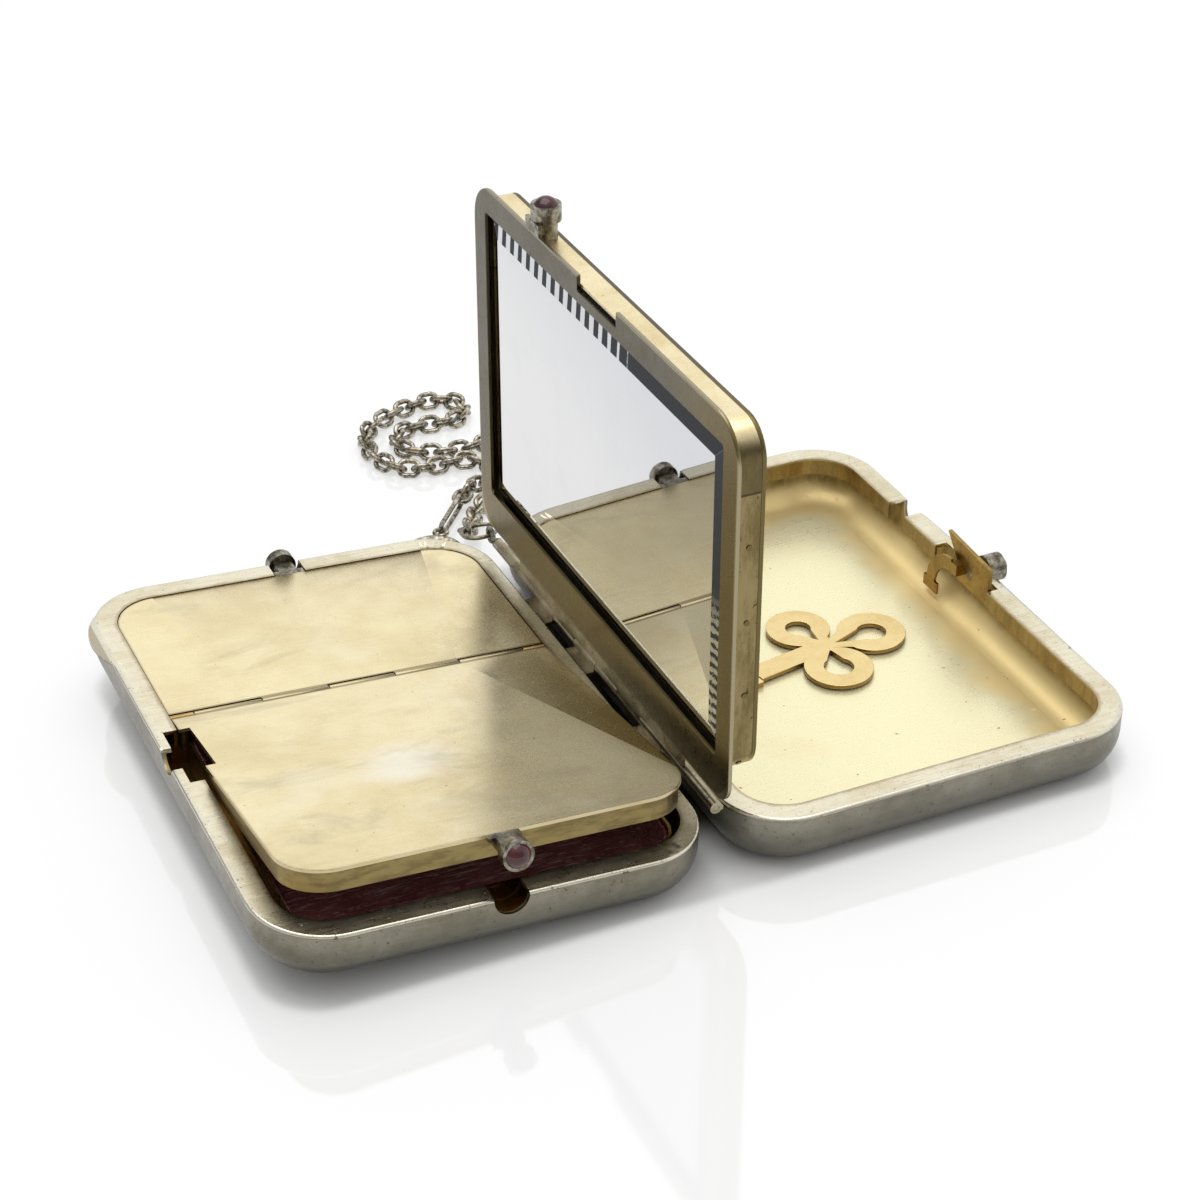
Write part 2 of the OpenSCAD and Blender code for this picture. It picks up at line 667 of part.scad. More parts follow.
// Domed stone that fills a setting
module stone() {
    r = bezel_r - bezel_t - stone_gap;
    ball_r = (r * r + stone_rise * stone_rise) / (2 * stone_rise);
    translate([0, 0, -stone_seat]) cylinder(r = r, h = stone_seat);
    intersection() {
        translate([0, 0, stone_rise - ball_r]) sphere(ball_r);
        cylinder(r = r, h = stone_rise + 1);
    }
}

// Thumb-piece of a lid, drawn for the front one; the rear one is its mirror image
module lid_thumb_form() {
    span([-thumb_x - thumb_w / 2, open_y0 - 1.3, lid_face - lid_t],
        [-thumb_x + thumb_w / 2, open_y0 + lid_gap, lid_face]);
    intersection() {
        rod_y(-thumb_x, lid_stem_z, -0.2, open_y0 - 0.5, stem_r);
        span([-thumb_x - 5, -1, lid_face - 9], [-thumb_x + 5, open_y0, lid_face]);
    }
    translate([-thumb_x, lid_bezel_y, lid_stem_z]) rotate([90, 0, 0]) setting(lid_bezel_l);
}
module lid_stone_form() { translate([-thumb_x, lid_bezel_y, lid_stem_z]) rotate([90, 0, 0]) stone(); }
module at_rear() { translate([0, case_l, 0]) mirror([0, 1, 0]) children(); }
module front_thumb_piece() { color("#a39c86") at_front_lid() lid_thumb_form(); }
module front_stone() { color("#6e1020") at_front_lid() lid_stone_form(); }
module rear_thumb_piece() { color("#a39c86") at_base() at_rear() lid_thumb_form(); }
module rear_stone() { color("#6e1020") at_base() at_rear() lid_stone_form(); }

// Plate that stands across X between x and x + t; its outline is drawn in Y and Z
module upright(x, t) { translate([x, 0, 0]) rotate([90, 0, 90]) linear_extrude(t) children(); }

// Outline of the mirror's frame
module frame_outline() {
    y0 = frame_end;
    y1 = case_l - frame_end;
    low_z = frame_low + frame_low_r;
    top_z = frame_top - frame_top_r;
    translate([y0, low_z]) square([y1 - y0, top_z - low_z]);
    translate([y0 + frame_low_r, frame_low]) square([y1 - y0 - 2 * frame_low_r, frame_low_r + eps]);
    translate([y0 + frame_top_r, top_z - eps]) square([y1 - y0 - 2 * frame_top_r, frame_top_r + eps]);
    for (y = [y0 + frame_low_r, y1 - frame_low_r]) translate([y, low_z]) circle(frame_low_r);
    for (y = [y0 + frame_top_r, y1 - frame_top_r]) translate([y, top_z]) circle(frame_top_r);
}

module mirror_frame() {
    color("#b9a878") at_hinge() difference() {
        upright(leaf_front, frame_t) difference() {
            frame_outline();
            rounded(frame_end + frame_w, case_l - frame_end - frame_w, glass_low, frame_top - frame_w, 0.8);
            translate([latch_cut_y0, frame_top - leaf_notch_d]) square([latch_l, leaf_notch_d + 1]);
        }
    }
}

module mirror_hinge_leaf() {
    mid = case_l / 2 - tab_shift;
    foot = barrel_r + tab_lift;
    color("#b0a070") at_hinge() union() {
        upright(leaf_front, frame_t)
            translate([mid - tab_l / 2, foot]) square([tab_l, frame_low - foot]);
        knuckles([2, 5])
            polygon([[leaf_front, foot], [leaf_front, 0.3], [frame_back, 1], [frame_back, foot]]);
    }
}

module box_outline(i) { rounded(box_y0 + i, box_y1 - i, box_low + i, box_top - i, box_r - i); }

module mirror_box() {
    color("#a8925a") at_hinge() upright(frame_back, leaf_d - frame_t - back_t) difference() {
        box_outline(0);
        box_outline(box_t);
    }
}
module mirror_back_plate() {
    color("#b9a878") at_hinge() upright(leaf_back - back_t, back_t) box_outline(0);
}

// Wedge that cuts the bevel along one side of the glass, up from the edge of its opening
module bevel_wedge(l) {
    past = frame_w;
    linear_extrude(l) polygon([[-1, -past], [bevel_d * (1 + past / bevel_w), -past], [0, bevel_w],
        [-1, bevel_w]]);
}
module mirror_glass() {
    y0 = frame_end + frame_w;
    z1 = frame_top - frame_w;
    color("#c5ccd4") at_hinge() translate([frame_back, 0, 0]) difference() {
        upright(0, glass_t) box_outline(box_t + glass_gap);
        translate([0, y0, 0]) bevel_wedge(frame_top);
        translate([0, case_l - y0, 0]) mirror([0, 1, 0]) bevel_wedge(frame_top);
        translate([0, case_l, glass_low]) rotate([90, 0, 0]) bevel_wedge(case_l);
        translate([0, case_l, z1]) rotate([90, 0, 0]) mirror([0, 1, 0]) bevel_wedge(case_l);
    }
}

module mirror_backing() {
    color("#3a322c") at_hinge() upright(frame_back + glass_t, leaf_d - frame_t - back_t - glass_t)
        box_outline(box_t + glass_gap);
}

// Four rivets in each side of the box; the lowest one stands on the box's round corner
module mirror_rivets() {
    corner_z = box_low + box_r;
    color("#9c8750") at_hinge() for (side = [-1, 1], i = [0 : 3]) {
        z = rivet_low + i * rivet_pitch;
        lean = 90 + asin(max(0, corner_z - z) / box_r);
        translate([(frame_back + leaf_back) / 2, side < 0 ? box_y0 + box_r : box_y1 - box_r,
            max(z, corner_z)]) rotate([-side * lean, 0, 0]) translate([0, 0, box_r])
                cylinder(r = rivet_r, h = rivet_h);
    }
}

module mirror_thumb_piece() {
    top = mirror_bezel_top - mirror_bezel_l + joint_depth;
    y = mirror_thumb_y;
    color("#a39c86") at_hinge() union() {
        span([leaf_front, y - thumb_w / 2, frame_top], [frame_back, y + thumb_w / 2, top]);
        intersection() {
            translate([mirror_stem_x, y, box_top]) cylinder(r = stem_r, h = top - box_top);
            span([frame_back, 0, box_top], [leaf_back, case_l, top + 1]);
        }
        span([frame_back - eps, y - stem_r, frame_top + thumb_joint_gap],
            [frame_back + thumb_joint_w, y + stem_r, top]);
        translate([mirror_stem_x, mirror_thumb_y, mirror_bezel_top]) setting(mirror_bezel_l);
    }
}
module mirror_stone() {
    color("#6e1020") at_hinge() translate([mirror_stem_x, mirror_thumb_y, mirror_bezel_top]) stone();
}

// Latch: a plate with a hooked nose, moved inward by the button
module latch_plate() {
    foot = -band_d + 0.3;
    color("#9a7430") at_hinge() difference() {
        union() {
            upright(latch_x - latch_t, latch_t)
                polygon([[latch_y0, foot], [latch_y1 - latch_step, foot],
                    [latch_y1 - latch_step, latch_step / 5], [latch_y1 - nose_l, nose_l],
                    [latch_y1, latch_top], [latch_y0, latch_top - latch_slant]]);
            translate([latch_x - eps, latch_y1 - nose_l / 2, barb_z]) rotate([90, 0, 0])
                linear_extrude(nose_l) polygon([[0, 0], [nose_w, 0], [0, nose_w]]);
        }
        rod_x(latch_y, button_z, latch_x - 2, latch_x + 1, latch_stem_r + pin_clear);
    }
}

// Moves to the mouth of the button's setting, facing outward
module at_button() {
    at_hinge() translate([reach + button_l - 0.6, latch_y, button_z]) rotate([0, 90, 0]) children();
}
module latch_button() {
    color("#8b8577") union() {
        at_hinge() rod_x(latch_y, button_z, latch_x - latch_t, reach + 0.5, latch_stem_r);
        at_button() setting(button_l);
    }
}
module latch_stone() { color("#6e1020") at_button() stone(); }

// Curved spring behind the latch plate: a quarter ring that falls from the plate to a foot
module latch_spring() {
    gap = 1.6;
    x = latch_x - latch_t - gap;
    y = latch_y1 - 4.2;
    z = rim_rise - spring_r;
    low = spring_r - spring_w / 2;
    color("#9a7430") at_hinge() union() {
        translate([x, y, z]) rotate([90, 0, 90]) rotate_extrude(angle = 90) translate([low, 0])
            square([spring_w, spring_t]);
        span([x, y + low - 1, z - 2.2], [x + spring_t, y + low + spring_w + 1, z + 0.1]);
        span([x, y - 2, z + low], [x + gap, y + 0.1, z + low + spring_w - 0.5]);
    }
}

// Leaf of the clip: a disc of radius r at distance d, with sides that run in to the middle
module clip_leaf(d, r) {
    w = clip_stem_w / 4;
    side = 0.85 * r;
    translate([d, 0, 0]) cylinder(r = r, h = clip_t);
    linear_extrude(clip_t) polygon([[0, w], [0, -w], [d, -side], [d, side]]);
}

// Hole of a leaf: a round opening whose sides run in to a point
module leaf_hole(d, r, point) {
    side = 0.85 * r;
    translate([d, 0, -1]) cylinder(r = r, h = clip_t + 2);
    translate([0, 0, -1]) linear_extrude(clip_t + 2)
        polygon([[point, 0], [d - r / 4, -side], [d, 0], [d - r / 4, side]]);
}

// Trefoil clip: three leaves round a meeting point, on a stem
module trefoil_clip() {
    color("#c89a3c") at_clip() difference() {
        union() {
            for (l = clip_leaves) rotate([0, 0, l[0]]) clip_leaf(l[1], l[2]);
            rotate([0, 0, clip_turn]) translate([-clip_stem_l, -clip_stem_w / 2, 0])
                cube([clip_stem_l, clip_stem_w, clip_t]);
        }
        for (l = clip_leaves) rotate([0, 0, l[0]]) leaf_hole(l[1], l[2] - clip_band, l[3]);
    }
}
module clip_root() {
    color("#c89a3c") at_clip() rotate([0, 0, clip_turn])
        translate([-clip_stem_l - clip_gap - clip_root_l, -clip_root_w / 2, -clip_gap])
            cube([clip_root_l, clip_root_w, clip_gap + clip_t]);
}
module clip_rivets() {
    color("#b58a3a") at_clip() rotate([0, 0, clip_turn]) for (k = [0.3, 0.7])
        translate([-clip_stem_l - clip_gap - k * clip_root_l, 0, clip_t])
            cylinder(r = clip_root_w / 8, h = clip_t / 3);
}

// Moves from heights over the table to heights over the hinge axis
module at_table() { translate([-cover_mid, -case_l / 2, 0]) children(); }

module jump_ring() {
    color("#8b8577") at_table() translate(eye_at + [0, 0, hinge_h]) rotate([0, 0, jump_turn])
        rotate([-jump_fall, 0, 0]) translate([0, jump_r, 0])
            rotate_extrude() translate([jump_r, 0]) circle(jump_wire / 2);
}

// Oval link along X, l long and w wide, of wire with radius r
module oval_link(l, w, r) {
    bend = w / 2 - r;
    straight = l / 2 - w / 2;
    for (side = [-1, 1]) {
        translate([side * straight, 0, 0]) rotate([0, 0, -90 * side]) rotate_extrude(angle = 180)
            translate([bend, 0]) circle(r);
        rod_x(side * bend, 0, -straight, straight, r);
    }
}

// Lays what runs along X between two points, rolled about its own length
module laid(a, b, roll) {
    d = b - a;
    translate((a + b) / 2) rotate([0, -asin(d[2] / norm(d)), atan2(d[1], d[0])])
        rotate([roll, 0, 0]) children();
}

module chain_links() {
    color("#7d786c") at_table() for (i = [0 : link_n - 1])
        laid(link_joints[i], link_joints[i + 1], link_roll(i)) oval_link(link_l, link_w, wire_r);
}

// The long link between the chain and the spring ring, round the middle of the ring's eye
module end_link() {
    a = link_joints[link_n];
    b = [ring_eye_at[0], ring_eye_at[1], end_z];
    back = (end_wire_d + link_play) / 2;
    color("#7d786c") at_table() laid(a, b, 90) translate([-back / 2, 0, 0])
        oval_link(round(100 * (norm(b - a) + back + end_wire_d)) / 100, end_link_w, end_wire_d / 2);
}

module spring_ring() {
    color("#8b8577") at_table() {
        translate(ring_at) difference() {
            rotate([0, 0, tube_start]) rotate_extrude(angle = tube_end - tube_start)
                translate([ring_r, 0]) difference() {
                    circle(ring_tube / 2);
                    circle(ring_tube / 2 - ring_tube_t);
                }
            rotate([0, 0, tube_end - slot_angle]) rotate_extrude(angle = slot_angle + 2)
                translate([ring_r, 0]) square([ring_tube, slot_w]);
        }
        translate(ring_eye_at) rotate_extrude() translate([ring_eye_r, 0]) circle(eye_wire / 2);
    }
}

// Bolt that closes the spring ring, with the knob that draws it back
module ring_bolt() {
    r = ring_tube / 2 - ring_tube_t - pin_clear;
    color("#8b8577") at_table() translate(ring_at) {
        rotate([0, 0, tube_end - bolt_tail]) rotate_extrude(angle = gap_angle + bolt_tail + bolt_tip)
            translate([ring_r, 0]) circle(r);
        rotate([0, 0, tube_end - knob_place]) translate([ring_r, 0, slot_w / 2]) rotate([0, 90, 0]) {
            cylinder(r = knob_r / 2, h = ring_tube / 2 + knob_l);
            translate([0, 0, ring_tube / 2 + knob_r / 2]) cylinder(r = knob_r, h = knob_l);
        }
    }
}

cover_shell();
cover_rim();
cover_hinge_leaf();
main_hinge_pin();
chain_eye();
base_shell();
base_rim();
base_hinge_leaf();
divider();
front_tray();
rear_tray();
front_lining();
lid_hinge_pin();
front_lid();
front_thumb_piece();
front_stone();
rear_lid();
rear_thumb_piece();
rear_stone();
mirror_frame();
mirror_hinge_leaf();
mirror_box();
mirror_back_plate();
mirror_glass();
mirror_backing();
mirror_rivets();
mirror_thumb_piece();
mirror_stone();
latch_plate();
latch_spring();
latch_button();
latch_stone();
clip_root();
clip_rivets();
trefoil_clip();
jump_ring();
chain_links();
end_link();
spring_ring();
ring_bolt();
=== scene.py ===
import json
import math
import bpy
import numpy as np
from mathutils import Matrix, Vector


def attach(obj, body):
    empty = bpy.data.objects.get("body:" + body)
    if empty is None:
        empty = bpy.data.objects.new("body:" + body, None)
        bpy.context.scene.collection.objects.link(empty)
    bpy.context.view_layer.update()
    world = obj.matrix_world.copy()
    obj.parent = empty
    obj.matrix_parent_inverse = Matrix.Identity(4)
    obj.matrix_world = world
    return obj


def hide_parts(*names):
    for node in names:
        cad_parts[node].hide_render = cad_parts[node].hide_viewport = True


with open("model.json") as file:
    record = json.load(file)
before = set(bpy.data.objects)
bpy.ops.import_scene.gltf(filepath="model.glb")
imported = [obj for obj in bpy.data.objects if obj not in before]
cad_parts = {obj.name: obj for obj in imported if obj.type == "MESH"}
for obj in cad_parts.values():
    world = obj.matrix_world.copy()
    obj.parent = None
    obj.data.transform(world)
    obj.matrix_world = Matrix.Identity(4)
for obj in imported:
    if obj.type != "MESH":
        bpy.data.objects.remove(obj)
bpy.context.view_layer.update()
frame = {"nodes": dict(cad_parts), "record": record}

# A hinged vanity case of gilt silver, open on a pale table. Sizes are in millimetres
# until a piece is made; the part's frame has the middle of the cover's underside as its
# origin. Hinge coordinates run from the main hinge axis, the front edge and the axis height:
# the cover lies at x above zero and the base below it. LID_LINE is the y and z of the hinge
# line of both lids, and the X pairs and TOPs are the two rims' ends and upper faces.
NODES = frame["nodes"]
MM = 0.001
TO_HINGE = np.array([40.85, 55.5, -11.10])
BASE_TILT = math.radians(3.5)
FRONT_OPEN = math.radians(8.4)
LID_LINE = (67.3, -1.61)
CASE_L, CORNER_R = 111.0, 13.0
COVER_X, COVER_TOP = (1.3, 80.4), 0.15
BASE_X, BASE_TOP = (-80.4, -2.5), -1.01
RIM_W = 4.3


# Shader maths
class Value:
    """One output of a shader node. Operators on it add Math nodes to its tree."""

    def __init__(self, finish, socket):
        self.finish = finish
        self.socket = socket

    def math(self, operation, *values):
        return self.finish.node("ShaderNodeMath", {"operation": operation}, dict(enumerate(values)))

    def __add__(self, other):
        return self.math("ADD", self, other)

    def __radd__(self, other):
        return self.math("ADD", other, self)

    def __sub__(self, other):
        return self.math("SUBTRACT", self, other)

    def __rsub__(self, other):
        return self.math("SUBTRACT", other, self)

    def __mul__(self, other):
        return self.math("MULTIPLY", self, other)

    def __truediv__(self, other):
        return self.math("DIVIDE", self, other)

    def __pow__(self, other):
        return self.math("POWER", self, other)

    def __abs__(self):
        return self.math("ABSOLUTE", self)

    def at_least(self, other):
        return self.math("MAXIMUM", self, other)

    def at_most(self, other):
        return self.math("MINIMUM", self, other)

    def sine(self):
        return self.math("SINE", self)

    def root(self):
        return self.math("SQRT", self)


class Finish:
    """A material under construction. Patterns read Object coordinates in millimetres."""

    def __init__(self, name):
        self.material = bpy.data.materials.new(name)
        self.material.use_nodes = True
        self.tree = self.material.node_tree
        self.tree.nodes.clear()
        self.output = self.tree.nodes.new("ShaderNodeOutputMaterial")

    def node(self, kind, settings=None, values=None, output=0):
        """Adds a node: settings first, then the values or links of its sockets."""
        node = self.tree.nodes.new(kind)
        for key, value in (settings or {}).items():
            setattr(node, key, value)
        for key, value in (values or {}).items():
            socket = node.inputs[key]
            if isinstance(value, Value):
                self.tree.links.new(value.socket, socket)
            else:
                socket.default_value = value
        return Value(self, node.outputs[output])

    def place(self):
        """Object coordinates in millimetres, in the part's frame."""
        at = self.node("ShaderNodeTexCoord", output="Object")
        return self.node("ShaderNodeVectorMath", {"operation": "SCALE"}, {0: at, "Scale": 1 / MM})

    def moved(self, at, shift=(0, 0, 0), turn=(0, 0, 0), scale=(1, 1, 1)):
        """Places scaled, turned and shifted by a Mapping node."""
        return self.node("ShaderNodeMapping", {"vector_type": "POINT"},
                         {"Vector": at, "Location": shift, "Rotation": turn, "Scale": scale})

    def parts(self, at):
        """The three numbers of a place."""
        split = self.tree.nodes.new("ShaderNodeSeparateXYZ")
        self.tree.links.new(at.socket, split.inputs[0])
        return [Value(self, out) for out in split.outputs]

    def noise(self, at, size, detail=3, rough=0.55, bend=0.0):
        """Cloudy noise from 0 to 1 whose patches are about size millimetres across."""
        return self.node("ShaderNodeTexNoise", {"noise_dimensions": "3D"},
                         {"Vector": at, "Scale": 1 / size, "Detail": detail, "Roughness": rough,
                          "Distortion": bend})

    def cells(self, at, size):
        """Distance to the nearest of points scattered about size millimetres apart."""
        return self.node("ShaderNodeTexVoronoi", {"feature": "F1"},
                         {"Vector": at, "Scale": 1 / size})

    def rise(self, value, low, high):
        """0 below low, 1 above high, smooth between; low may be the larger."""
        return self.node("ShaderNodeMapRange", {"interpolation_type": "SMOOTHSTEP"},
                         {"Value": value, "From Min": low, "From Max": high})

    def mix(self, part, first, second):
        """Colour that goes from first to second with part."""
        node = self.tree.nodes.new("ShaderNodeMix")
        node.data_type = "RGBA"
        for place, value in ((0, part), (6, first), (7, second)):
            if isinstance(value, Value):
                self.tree.links.new(value.socket, node.inputs[place])
            else:
                node.inputs[place].default_value = (*value, 1) if place else value
        return Value(self, node.outputs[2])

    def surface(self, color, rough, metal=1.0, height=None, depth=0.05, coat=0.0, **uniform):
        """Ends the material: height in millimetres makes the bumps, depth is their strength."""
        values = {"Base Color": color if isinstance(color, Value) else (*color, 1),
                  "Roughness": rough, "Metallic": metal, "Coat Weight": coat}
        if height is not None:
            values["Normal"] = self.node("ShaderNodeBump", None,
                                         {"Strength": 1.0, "Distance": depth * MM, "Height": height})
        values.update({key.replace("_", " "): value for key, value in uniform.items()})
        shader = self.node("ShaderNodeBsdfPrincipled", None, values)
        self.tree.links.new(shader.socket, self.output.inputs["Surface"])
        return self.material


def outline_distance(place, x0, x1, y0, y1, r):
    """Distance outside a rectangle with corner radius r: the length of the part of
    |p - centre| - half + r that is above zero, less r."""
    x, y = place
    across = (abs(x - (x0 + x1) / 2) - (x1 - x0) / 2 + r)
    along = (abs(y - (y0 + y1) / 2) - (y1 - y0) / 2 + r)
    outer = (across.at_least(0) ** 2 + along.at_least(0) ** 2).root()
    return outer + across.at_least(along).at_most(0) - r


def hinge_place(finish, tilt=0.0, open_by=0.0):
    """Hinge coordinates of a surface point, or the base's own when tilt is its angle, or
    those of the shut lid when open_by is the angle at which the lid stands open."""
    at = finish.moved(finish.place(), shift=tuple(TO_HINGE))
    if tilt:
        at = finish.moved(at, turn=(0, -tilt, 0))
    if open_by:
        at = finish.moved(at, shift=(0, -LID_LINE[0], -LID_LINE[1]))
        at = finish.moved(at, shift=(0, LID_LINE[0], LID_LINE[1]), turn=(open_by, 0, 0))
    return at


# Finishes
def gilt(name, pale, deep, dark, rough=0.3, cloud=28, grain=None, pits=0.35, scratch=0.4,
         extra=None, tilt=0.0, open_by=0.0, depth=0.02, metal=1.0):
    """Worn gilding: clouds of two tones, a brushed grain along one axis, hair scratches,
    dark pits, and fine bumps. extra may change colour, roughness and height at places."""
    f = Finish(name)
    at = hinge_place(f, tilt, open_by)
    clouds = f.noise(at, cloud, 4, 0.6, 0.4)
    mottle = f.noise(at, cloud / 6, 5, 0.7)
    fine = f.noise(at, 0.5, 3)
    tone = f.rise(clouds * 0.65 + mottle * 0.35, 0.36, 0.66)
    color = f.mix(tone, pale, deep)
    stretch = {"x": (0.035, 1, 1), "y": (1, 0.035, 1), "z": (1, 1, 0.035)}[grain or "y"]
    brushed = f.noise(f.moved(at, scale=stretch), 0.28, 2)
    one_way = f.noise(f.moved(at, turn=(0.2, 0.3, 0.6), scale=(0.02, 1.3, 1)), 0.35, 1)
    other_way = f.noise(f.moved(at, turn=(0.1, -0.2, -0.9), scale=(0.02, 1.2, 1)), 0.4, 1)
    hairs = f.rise(one_way, 0.66, 0.72).at_least(f.rise(other_way, 0.68, 0.73))
    spots = f.rise(f.noise(at, 1.1, 2, 0.7), 0.70 - 0.06 * pits, 0.78 - 0.06 * pits)
    stain = f.rise(f.noise(f.moved(at, shift=(40, 7, 3)), 7, 5, 0.75), 0.60, 0.80)
    color = f.mix(spots * pits + stain * pits * 0.5, color, dark)
    color = f.mix(hairs * scratch * 0.35, color, tuple(min(1, c * 1.25) for c in pale))
    if grain:
        color = f.mix(f.rise(brushed, 0.45, 0.75) * 0.22, color, dark)
    weight = 0.10 if grain is None else 0.35
    height = brushed * weight + fine * 0.15 - hairs * (0.5 * scratch) - spots * (1.2 * pits)
    roughness = (rough + (fine - 0.5) * 0.08 + (mottle - 0.5) * 0.16 + spots * 0.25
                 + (brushed - 0.5) * (0.05 if grain is None else 0.16))
    if extra:
        color, roughness, height = extra(f, at, color, roughness, height)
    return f.surface(color, roughness.at_least(0.06), metal, height, depth)


def rim_wear(ends, top, hinge_side=RIM_W):
    """Silver rubbed through along a rim's outer edge, brown dirt along its inner one,
    a brown-gold inner wall, dark pinholes, and knocks where corners and edges were hit.
    hinge_side is the rim's width at the end with the larger x."""
    x0, x1 = ends

    def change(f, at, color, rough, height):
        x, y, z = f.parts(at)
        outer = outline_distance((x, y), x0, x1, 0, CASE_L, CORNER_R)
        inner = outline_distance((x, y), x0 + RIM_W, x1 - hinge_side, RIM_W, CASE_L - RIM_W,
                                 CORNER_R - RIM_W)
        worn = f.noise(at, 3.2, 5, 0.75)
        rub = f.rise(worn, 0.46, 0.60) * f.rise(outer, -4.6, -0.8)
        edge = f.rise(outer + (worn - 0.5) * 1.4, -1.1, -0.2)
        below = f.rise(z + (worn - 0.5) * 0.25, top - 0.25, top - 0.6)
        dirt = f.rise(inner + (worn - 0.5) * 1.2, 0.9, 0.05)
        pin = f.rise(f.noise(f.moved(at, shift=(3, 8, 1)), 0.55, 2, 0.6), 0.66, 0.70)
        knock = f.rise(f.noise(f.moved(at, shift=(9, 4, 1)), 2.4, 3, 0.7), 0.64, 0.70)
        knock = knock * f.rise(outer, -3.0, -0.2)
        color = f.mix(rub * 0.55, color, (0.84, 0.80, 0.65))
        color = f.mix(edge * 0.55, color, (0.66, 0.64, 0.56))
        color = f.mix(below * f.rise(outer, -2.0, -1.0) * 0.9, color, (0.17, 0.155, 0.115))
        streak = f.noise(f.moved(at, scale=(1, 1, 0.2)), 2.5, 4, 0.7)
        band = f.mix(f.rise(streak, 0.38, 0.62), (0.52, 0.37, 0.13), (0.26, 0.175, 0.06))
        deep = f.rise(z, top - 0.30, top - 0.45) * f.rise(outer, -2.6, -3.0)
        color = f.mix(deep * 0.9, color, band)
        color = f.mix(f.rise(x, x0 - 0.05, x0 - 0.4) * 0.7, color, (0.36, 0.30, 0.21))
        color = f.mix(dirt * 0.55, color, (0.24, 0.16, 0.06))
        color = f.mix(pin * 0.6, color, (0.16, 0.12, 0.07))
        color = f.mix(knock * 0.8, color, (0.09, 0.07, 0.05))
        height = height - knock * 1.4 - pin * 0.6 - rub * 0.3
        return color, rough + knock * 0.2 - edge * 0.05, height
    return change


def shell_wear(floor_color, ends, top, floor_z):
    """Inside, gilding that is pale on the floor, orange round the fillet and brown up the
    wall. Outside, gilding gone to grey silver and pitted, paler under the rim and darker low down, the
    darkening being painted shade where the side turns to face the table.
    A point is inside where it lies deeper than half the sheet under the dish's outer skin,
    the distance of which follows from the outline and the height over the underside."""
    sheet, edge_r = 0.8, 7.0

    def change(f, at, color, rough, height):
        x, y, z = f.parts(at)
        outer = outline_distance((x, y), *ends, 0, CASE_L, CORNER_R)
        over = edge_r + floor_z - sheet - z
        skin = ((outer + edge_r).at_least(0) ** 2 + over.at_least(0) ** 2).root() - edge_r
        skin = skin.at_least(outer)
        inside = f.rise(skin, -0.35, -0.5)
        worn = f.noise(at, 4, 5, 0.72)
        cloud = f.noise(f.moved(at, shift=(3, 30, 8)), 20, 4, 0.6, 0.5)
        fillet = f.rise(outer + (cloud - 0.5) * 14, -13, -6.5)
        warm = f.mix(f.rise(cloud, 0.52, 0.74) * 0.30, floor_color, (0.95, 0.76, 0.42))
        warm = f.mix(fillet * 0.60, warm, (1.0, 0.70, 0.22))
        wall = f.rise(z + (worn - 0.5) * 1.2, floor_z + 2.2, floor_z + 4.4)
        streak = f.noise(f.moved(at, scale=(1, 1, 0.15)), 3.0, 4, 0.7)
        brown = f.mix(f.rise(streak, 0.40, 0.62), (0.46, 0.34, 0.14), (0.25, 0.175, 0.065))
        warm = f.mix(wall * 0.92, warm, brown)
        warm = f.mix(f.rise(worn, 0.64, 0.78) * 0.20, warm, (0.70, 0.46, 0.20))
        fleck = f.rise(f.noise(f.moved(at, shift=(1, 5, 2)), 1.6, 2, 0.6), 0.735, 0.76)
        warm = f.mix(fleck * 0.7, warm, (0.22, 0.12, 0.04))
        # Painted shade: the outside darkens low down, where the side turns to face the table.
        low = f.rise(z + (worn - 0.5) * 3, top - 0.5, top - 6.0)
        outside = f.mix(low * 0.8, color, (0.105, 0.10, 0.075))
        pit = f.rise(f.noise(f.moved(at, shift=(11, 2, 5)), 0.9, 2, 0.6), 0.66, 0.70)
        outside = f.mix(pit * 0.6, outside, (0.06, 0.05, 0.04))
        color = f.mix(inside, outside, warm)
        rough = rough + ((worn - 0.5) * 0.08 - 0.02 + (wall + fillet) * 0.10) * inside
        height = height * (1 - inside * 0.8) - pit * (1 - inside) * 1.2 - fleck * inside
        return color, rough, height
    return change


